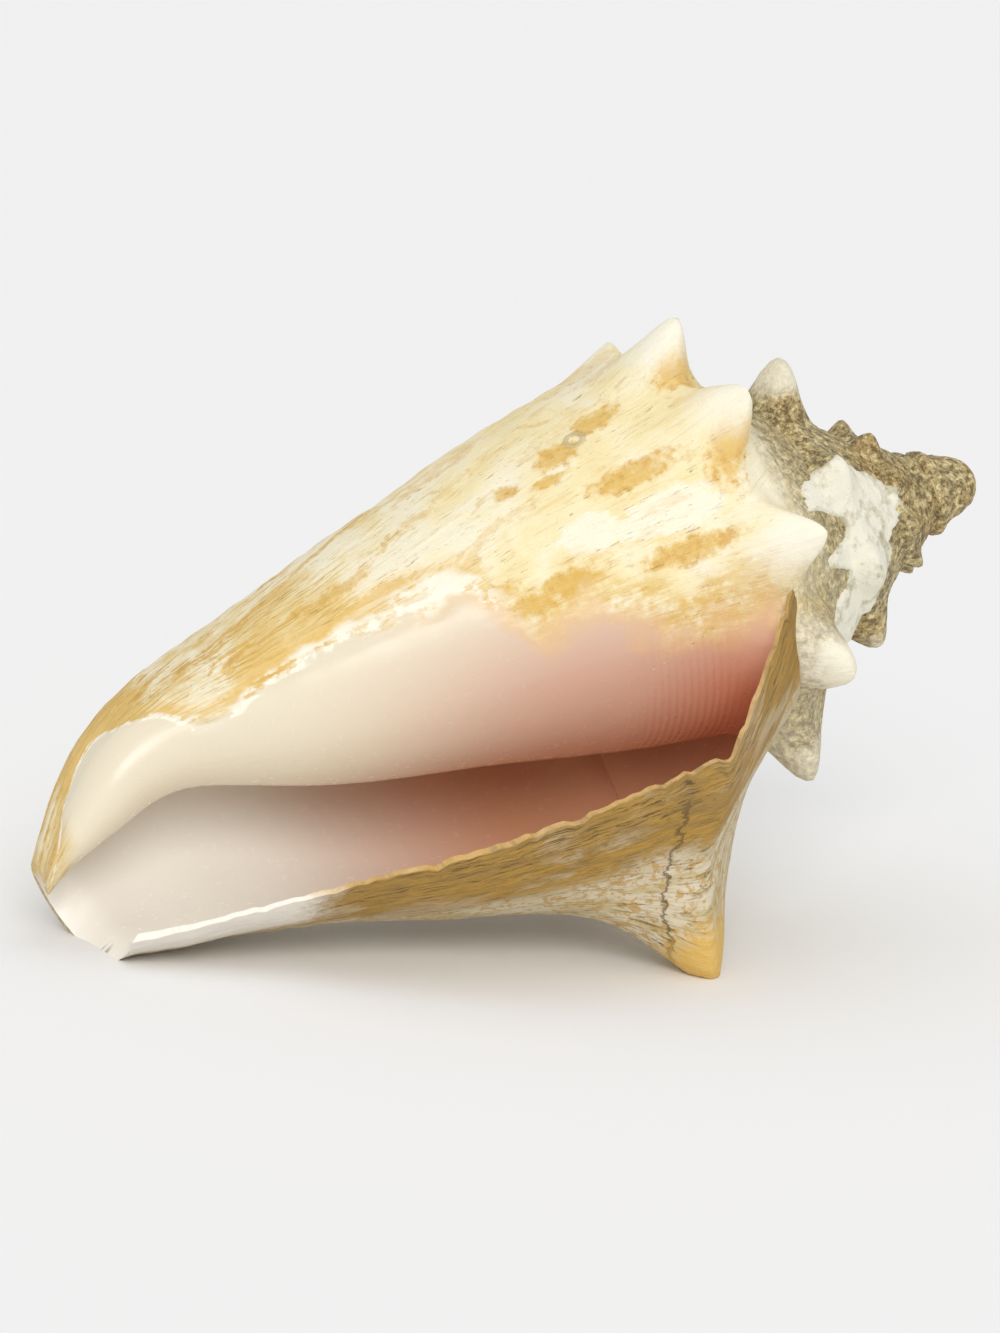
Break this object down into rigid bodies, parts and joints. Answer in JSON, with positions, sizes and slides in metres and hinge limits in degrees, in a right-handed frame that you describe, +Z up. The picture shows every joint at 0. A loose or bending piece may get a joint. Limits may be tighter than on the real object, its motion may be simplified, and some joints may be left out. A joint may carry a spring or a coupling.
{
  "type": "conch shell",
  "caption": "Young queen conch shell with shoulder spines, a worn pointed spire, a pink-lined aperture and a thin unflared outer lip, lying on three worn points",
  "frame": {"origin": "on the floor below the middle of the shell's box, as it lies at rest", "axes": "+Z up, +X towards the apex, -Y towards the side the aperture faces"},
  "size_m": [0.1714, 0.1098, 0.1159],
  "materials": {
    "outer_shell": "satin",
    "lime_crust": "matte"
  },
  "bodies": {
    "root": {"shell": "outer_shell"}
  },
  "joints": []
}
